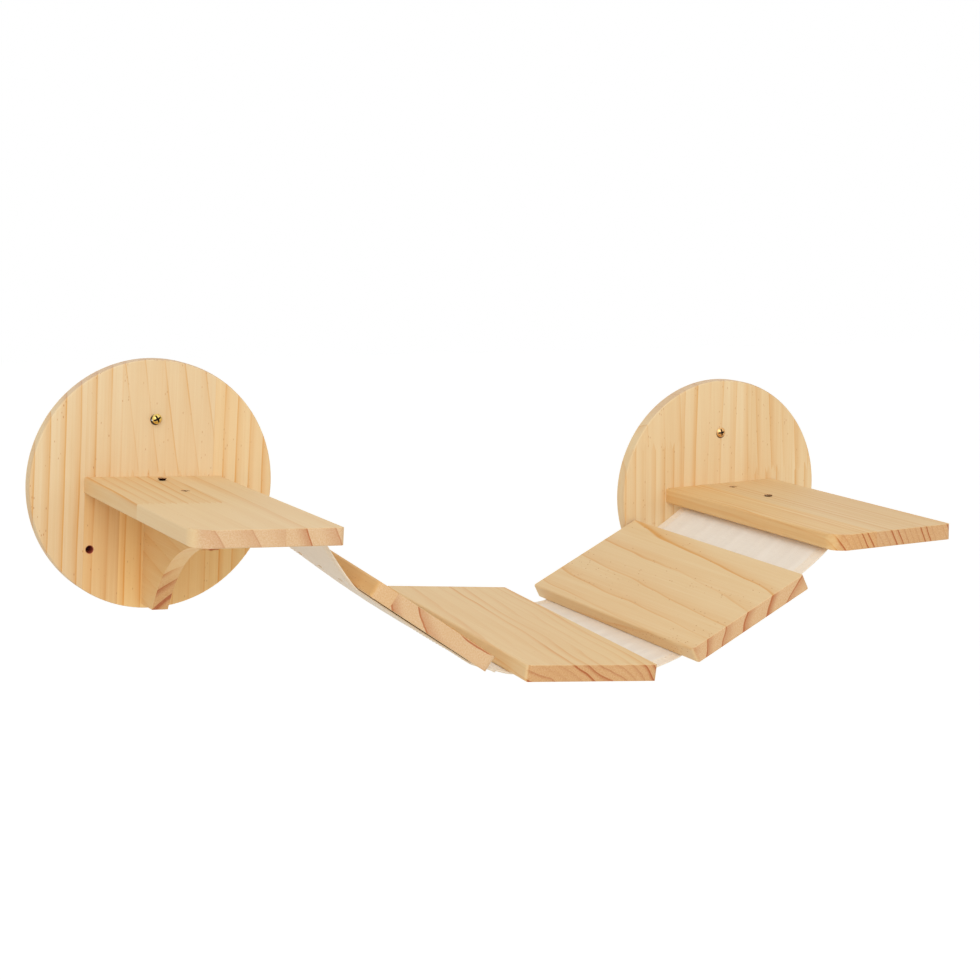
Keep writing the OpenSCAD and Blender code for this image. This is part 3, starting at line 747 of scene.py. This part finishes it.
def new_piece(name, points, faces, material):
    """A smooth mesh object from points in millimetres."""
    mesh = bpy.data.meshes.new(name)
    mesh.from_pydata([tuple(p) for p in np.array(points) * MM], [], [tuple(f) for f in faces])
    mesh.materials.append(material)
    for polygon in mesh.polygons:
        polygon.use_smooth = True
    bm = bmesh.new()
    bm.from_mesh(mesh)
    bmesh.ops.recalc_face_normals(bm, faces=bm.faces)
    bm.to_mesh(mesh)
    bm.free()
    return new_object(name, mesh)


def circle(radius, sides):
    return [(radius * math.cos(TURN * s / sides), radius * math.sin(TURN * s / sides)) for s in range(sides)]


def tube_faces(stations, sides):
    """Faces between rings of points that follow one another."""
    faces = []
    for k in range(stations - 1):
        for s in range(sides):
            t = (s + 1) % sides
            faces.append((k * sides + s, k * sides + t, (k + 1) * sides + t, (k + 1) * sides + s))
    return faces


def cloth_piece(name, rows, along, material):
    """A closed sheet with the rows as its upper face, thicker at the hems, with the flat cloth as its UV
    map."""
    m, n = rows.shape[:2]
    from_edge = np.minimum(COLUMNS, 1 - COLUMNS) * CANVAS_W
    thick = np.where(from_edge <= HEM_W + 0.01, HEM_T, CLOTH_T)
    thick = np.where(from_edge < EDGE_W, EDGE_T, thick)
    lower = rows + grid_normals(rows) * thick[None, :, None]
    points = np.concatenate([rows.reshape(-1, 3), lower.reshape(-1, 3)])
    index = np.arange(m * n).reshape(m, n)
    faces = []
    for i in range(m - 1):
        for j in range(n - 1):
            a, b, c, d = index[i, j], index[i + 1, j], index[i + 1, j + 1], index[i, j + 1]
            faces.append((a, b, c, d))
            faces.append((a + m * n, d + m * n, c + m * n, b + m * n))
    ring = [*index[0, :], *index[1:, -1], *index[-1, -2::-1], *index[-2:0:-1, 0]]
    for a, b in zip(ring, ring[1:] + ring[:1]):
        faces.append((a, b, b + m * n, a + m * n))
    made = new_piece(name, points, faces, material)
    layer = made.data.uv_layers.new(name="cloth")
    flat = np.stack(np.broadcast_arrays(COLUMNS[None, :] * CANVAS_W, along[:, None]), 2)
    flat = np.tile(flat.reshape(-1, 2) * MM, (2, 1))
    corners = np.zeros(len(made.data.loops), np.int32)
    made.data.loops.foreach_get("vertex_index", corners)
    layer.data.foreach_set("uv", flat[corners].ravel())
    return made


def stitch(start, stop, up, radius, sides=6):
    """Points and faces of a stitch: a short thread that dips into the cloth at both ends."""
    axis = stop - start
    side = np.cross(axis, up)
    side /= np.linalg.norm(side)
    points = []
    for share in STITCH_SHARES:
        lift = radius * (1.2 * math.sin(math.pi * share) - 0.55)
        size = radius * (0.55 + 0.45 * math.sin(math.pi * share))
        centre = start + axis * share + up * lift
        points += [centre + size * (a * side + b * up) for a, b in circle(1, sides)]
    count = len(STITCH_SHARES)
    ends = [tuple(range(sides))[::-1], tuple(range((count - 1) * sides, count * sides))]
    return points, tube_faces(count, sides) + ends


def at(where, stations, values):
    """A point between rows of points, which lie at the stations."""
    return np.array([np.interp(where, stations, values[:, k]) for k in range(3)])


def stitch_piece(name, rows, along, material):
    """Lines of stitches along both hems, on both faces of the cloth."""
    normals = grid_normals(rows)
    points, faces = [], []
    widths = COLUMNS * CANVAS_W
    for width in (STITCH_IN, CANVAS_W - STITCH_IN):
        line, down = (np.array([at(width, widths, row) for row in grid]) for grid in (rows, normals))
        for face, begin, lift in ((-1, 0.5, 0), (1, 1.0, HEM_T)):
            s = along[0] + STITCH_STEP * begin
            while s + STITCH_L < along[-1]:
                up = at(s + STITCH_L / 2, along, down) * face
                start, stop = (at(end, along, line) + up * lift for end in (s, s + STITCH_L))
                more_points, more_faces = stitch(start, stop, up, STITCH_R)
                base = len(points)
                points += more_points
                faces += [tuple(base + i for i in f) for f in more_faces]
                s += STITCH_STEP
    return new_piece(name, points, faces, material)


def make_canvas():
    cloth, thread = canvas_material(), thread_material()
    left_edges, right_edges = ([under_plank(i, x) for i in range(3)] for x in (-PLANK_W / 2, PLANK_W / 2))
    folds = [between(right_edges[i], left_edges[i + 1], 0.5) for i in range(2)]
    fold_below = lowered(folds[0], FOLD_DROP)
    lap = lowered(between(right_edges[0], left_edges[1], 0.5 + LAP / LEFT_FOLD_L), LAP_DROP)
    seam = under_plank(2, -PLANK_W / 2 + SEAM_IN)
    flap_inner = [FIXING_X[side] - FLAP_GAP - CANVAS_T * abs(math.sin(math.radians(PLANK_TILTS[i])))
                  for side, i in ((1, 0), (-1, 2))]
    starts = [under_shelf(1, flap_inner[0] - FLAP_L), under_shelf(1, FIXING_X[1])]
    ends = [under_shelf(-1, -FIXING_X[-1]), under_shelf(-1, FLAP_L - flap_inner[1])]

    def on_plank(i, belly, droop=0):
        """Stretches under plank i: flat at the staples and a little slack between their two rows."""
        first, last = (under_plank(i, side * (PLANK_W / 2 - STAPLE_INSET)) for side in (-1, 1))
        return [stretch(left_edges[i], first, droop=droop),
                stretch(first, last, folds=0.3, droop=droop, belly=belly),
                stretch(last, right_edges[i], droop=droop)]

    # For each sheet: its stretches, its two bodies, the line where it bends and how far to each side, what
    # it rests on and the CAD nodes that it stands for
    plans = {
        "left": (
            [stretch(*starts),
             stretch(starts[1], left_edges[0], sag=CANVAS_SAG, folds=0.5, droop=0.3),
             *on_plank(0, belly=3.6, droop=0.3),
             stretch(right_edges[0], fold_below, folds=0.3, droop=0.2),
             stretch(fold_below, lap, droop=0.2)],
            ("brackets", "left_link"), starts[1], HINGE_BEND,
            ["left_shelf", "left_plank"], ("canvas_left_end", "canvas_left")),
        "middle": (
            [stretch(folds[0], left_edges[1], folds=0.2),
             *on_plank(1, belly=1.0),
             stretch(right_edges[1], left_edges[2], folds=1.6, droop=0.4),
             stretch(left_edges[2], seam, droop=0.4)],
            ("middle_link", "right_link"), folds[1], RIGHT_FOLD_L / 2,
            ["middle_plank", "right_plank"], ("canvas_middle",)),
        "right": (
            [stretch(seam, right_edges[2], folds=0.15, droop=0.4),
             stretch(right_edges[2], ends[0], sag=CANVAS_SAG, folds=0.9, droop=0.4),
             stretch(*ends)],
            ("right_link", "brackets"), ends[0], HINGE_BEND,
            ["right_shelf", "right_plank"], ("canvas_right", "canvas_right_end")),
    }
    for side, (stretches, bodies, bend, reach, rests, nodes) in plans.items():
        rows, along = canvas_rows(stretches)
        rows = soften(rows, SOFTEN_PASSES)
        sheet = cloth_piece(f"canvas_sheet_{side}", rows, along, cloth)
        stitches = stitch_piece(f"canvas_stitches_{side}", rows, along, thread)
        for piece in (sheet, stitches):
            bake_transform(piece)
        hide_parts(*nodes)


# Wall screws, in millimetres

WALL_HEAD_R, WALL_HEAD_H, HEAD_RIM, SHANK_R = {1: 4.6, -1: 5.0}, 2.9, 0.25, 2.25
THREAD_R, THREAD_CORE_R, THREAD_L, THREAD_TIP, THREAD_PITCH = 2.5, 1.7, 25.0, 6.0, 2.2
THREAD_STEP, THREAD_RUN_IN, THREAD_TAPER, RIDGE_SHARE = 0.16, 1.5, THREAD_TIP + 2, 0.26
SHANK_END, POINT_GAP, POINT_R = 1.0, 0.15, 0.05
CROSS_ARM, CROSS_REACH, CROSS_DEPTH, CROSS_FLOOR = 1.0, 3.8, 2.3, 0.3
CROSS_WALL, CROSS_END, CROSS_TAPER, CROSS_SUNK = 0.22, 0.6, 0.06, 0.4
# How far each stands proud of its plate, how far its cross is turned, and its metal
WALL_SCREWS = {"left": (4.0, 0.5, "bright_zinc"), "right": (0.3, 0.15, "yellow_zinc")}


def ease(value):
    """0 below 0, 1 above 1, and smooth between."""
    value = max(0.0, min(1.0, value))
    return value * value * (3 - 2 * value)


def screw_head(head_r, sides=96, rings=34):
    """Domed head with a cross recess. Gives its points, its faces and which faces lie in the recess."""
    dome = (head_r ** 2 + WALL_HEAD_H ** 2) / (2 * WALL_HEAD_H)
    flat = [(0.0, 0.0)]
    for k in range(1, rings + 1):
        flat += circle(head_r * k / rings, sides)
    points, sunk = [], []
    for x, y in flat:
        z = max(math.sqrt(dome * dome - x * x - y * y) + WALL_HEAD_H - dome, HEAD_RIM)
        narrow, wide = sorted((abs(x), abs(y)))
        share = ease((CROSS_ARM - CROSS_TAPER * wide - narrow) / CROSS_WALL)
        share *= ease((CROSS_REACH - wide) / CROSS_END)
        points.append((x, y, max(z - CROSS_DEPTH * share, CROSS_FLOOR)))
        sunk.append(share)
    faces = []
    for s in range(sides):
        t = (s + 1) % sides
        faces.append((0, 1 + s, 1 + t))
        for k in range(rings - 1):
            inner, outer = 1 + k * sides, 1 + (k + 1) * sides
            faces.append((inner + s, outer + s, outer + t, inner + t))
    recess = [sum(sunk[i] for i in face) / len(face) > CROSS_SUNK for face in faces]
    rim = 1 + (rings - 1) * sides
    base = len(points)
    for r in (head_r - HEAD_RIM, SHANK_R):
        points += [(x, y, 0.0) for x, y in circle(r, sides)]
    for s in range(sides):
        t = (s + 1) % sides
        faces.append((rim + s, base + s, base + t, rim + t))
        faces.append((base + s, base + sides + s, base + sides + t, base + t))
    return points, faces, recess


def thread_radius(depth, turned):
    """Radius of the thread at a depth below the shank, at a share of a turn round it."""
    ridge = max(0.0, 1 - abs((depth / THREAD_PITCH - turned) % 1 - 0.5) / RIDGE_SHARE)
    taper = min(1.0, max(0.0, (THREAD_L + THREAD_TIP - depth) / THREAD_TAPER))
    begun = min(1.0, depth / THREAD_RUN_IN)
    core = SHANK_R + (THREAD_CORE_R - SHANK_R) * begun
    return max((core + (THREAD_R - core) * ridge * begun) * taper, POINT_R)


def screw_thread(shank_l, sides=32):
    """Shank, then a thread that winds down to the point."""
    depths = np.arange(0, THREAD_L + THREAD_TIP - POINT_GAP, THREAD_STEP)
    stations = [0.0, SHANK_END - shank_l, *(-shank_l - depths)]
    points = []
    for z in stations:
        depth = -z - shank_l
        for s, (x, y) in enumerate(circle(1, sides)):
            r = thread_radius(depth, s / sides) if depth >= 0 else SHANK_R
            points.append((r * x, r * y, z))
    count = len(stations)
    return points, tube_faces(count, sides) + [tuple(range((count - 1) * sides, count * sides))]


def make_wall_screw(name, proud, turn, material, dark):
    """A wall screw whose head stands proud of the plate, with its cross turned."""
    side = SIDES[name]
    shank_l = PLATE_T + proud
    head, head_faces, recess = screw_head(WALL_HEAD_R[side])
    shank, shank_faces = screw_thread(shank_l)
    c, s = math.cos(turn), math.sin(turn)
    points = [(c * x - s * y, s * x + c * y, z) for x, y, z in head] + shank
    points = [on_bracket(side, (x, -shank_l - z, WALL_SCREW_Z + y)) for x, y, z in points]
    faces = head_faces + [tuple(len(head) + i for i in f) for f in shank_faces]
    screw = new_piece(f"{name}_wall_screw_cut", points, faces, material)
    # The faces in the cross recess take the painted shade
    screw.data.materials.append(dark)
    for polygon, sunk in zip(screw.data.polygons, recess):
        polygon.material_index = int(sunk)
    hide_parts(f"{name}_wall_screw")
    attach(screw, "brackets")


# Light and backdrop

AIM = (0.3, -0.1, -0.05)
KEY_PLACE, KEY_SIZE, KEY_WATTS = (-0.9, -2.3, 1.65), 2.2, 32
FILL_PLACE, FILL_SIZE, FILL_WATTS = (0.9, -2.7, 0.0), 2.0, 6
WORLD_COLOUR, WORLD_LIGHT, WHITE = (1.0, 0.985, 0.965, 1), 0.68, (1, 1, 1, 1)
FLOOR_PLACE, FLOOR_REACH, FLOOR_GLOW = (0.3, 0, -1.3), 14, 0.38
FLOOR_COLOUR, FLOOR_SPECULAR, STAGE_ROUGH = (0.93, 0.93, 0.93, 1), 0.1, 0.9
# Dark discs of painted wall shade in the empty lower holes: where they sit, and their colour
WALL_SPOT_Y, WALL_SHADE = -0.4, (0.11, 0.05, 0.045, 1)


def make_area(name, place, size, watts):
    lamp = bpy.data.lights.new(name, "AREA")
    lamp.shape = "DISK"
    lamp.size = size
    lamp.energy = watts
    made = new_object(name, lamp)
    made.location = place
    made.rotation_euler = (Vector(place) - Vector(AIM)).to_track_quat("Z", "Y").to_euler()


def make_world():
    """Soft light from all round, and plain white where the background itself is seen."""
    n = Nodes(bpy.data.worlds.new("studio"))
    plain = n.tree.nodes["Background"]
    plain.inputs["Color"].default_value = WORLD_COLOUR
    plain.inputs["Strength"].default_value = WORLD_LIGHT
    white = n.node("ShaderNodeBackground", WHITE)
    mix = n.node("ShaderNodeMixShader", n.background_seen(), plain.outputs[0], white.outputs[0])
    n.put(n.tree.nodes["World Output"].inputs[0], mix.outputs[0])
    bpy.context.scene.world = n.owner


def make_floor():
    bm = bmesh.new()
    bmesh.ops.create_grid(bm, x_segments=8, y_segments=8, size=FLOOR_REACH)
    mesh = bpy.data.meshes.new("floor")
    bm.to_mesh(mesh)
    bm.free()
    floor = new_object("floor", mesh)
    floor.location = FLOOR_PLACE
    n = new_material("floor")
    n.shader.inputs["Base Color"].default_value = FLOOR_COLOUR
    n.shader.inputs["Roughness"].default_value = STAGE_ROUGH
    n.shader.inputs["Specular IOR Level"].default_value = FLOOR_SPECULAR
    glow = n.node("ShaderNodeEmission")
    n.put(glow.inputs["Strength"], n.math("MULTIPLY", n.background_seen(), FLOOR_GLOW))
    add = n.node("ShaderNodeAddShader", n.shader.outputs[0], glow.outputs[0])
    n.put(n.tree.nodes["Material Output"].inputs[0], add.outputs[0])
    mesh.materials.append(n.owner)


def make_painted_shade_spots(sides=32):
    """Backdrop: dark discs at the back of the empty lower holes, painted with the shade of the wall
    behind them.
    """
    n = new_material("wall")
    n.shader.inputs["Base Color"].default_value = WALL_SHADE
    n.shader.inputs["Roughness"].default_value = STAGE_ROUGH
    for name, side in SIDES.items():
        for k, hole_x in enumerate((-LOW_HOLE_X, LOW_HOLE_X)):
            points = [on_bracket(side, (hole_x + x, WALL_SPOT_Y, LOW_HOLE_Z + z))
                      for x, z in circle(WALL_HOLE_R, sides)]
            new_piece(f"painted_shade_spot_{name}_{k}", points, [range(sides)], n.owner)


bpy.context.scene.view_settings.view_transform = "Standard"
make_camera()
make_world()
make_area("key", KEY_PLACE, KEY_SIZE, KEY_WATTS)
make_area("fill", FILL_PLACE, FILL_SIZE, FILL_WATTS)
make_floor()
make_painted_shade_spots()

for node, board in PINE.items():
    set_material(node, pine(f"pine_{node}", *board))
metals = {name: metal(name, *looks) for name, looks in METALS.items()}
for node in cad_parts:
    if node.endswith("_shelf_screws"):
        set_material(node, shelf_screw_metal(node.split("_")[0]))
    elif node.endswith("_screws"):
        set_material(node, metals["dull_zinc"])
    elif node.endswith("_staples"):
        set_material(node, metals["coated_staple"])
for name, (proud, turn, zinc) in WALL_SCREWS.items():
    make_wall_screw(name, proud, turn, metals[zinc], metals["recess"])
make_canvas()
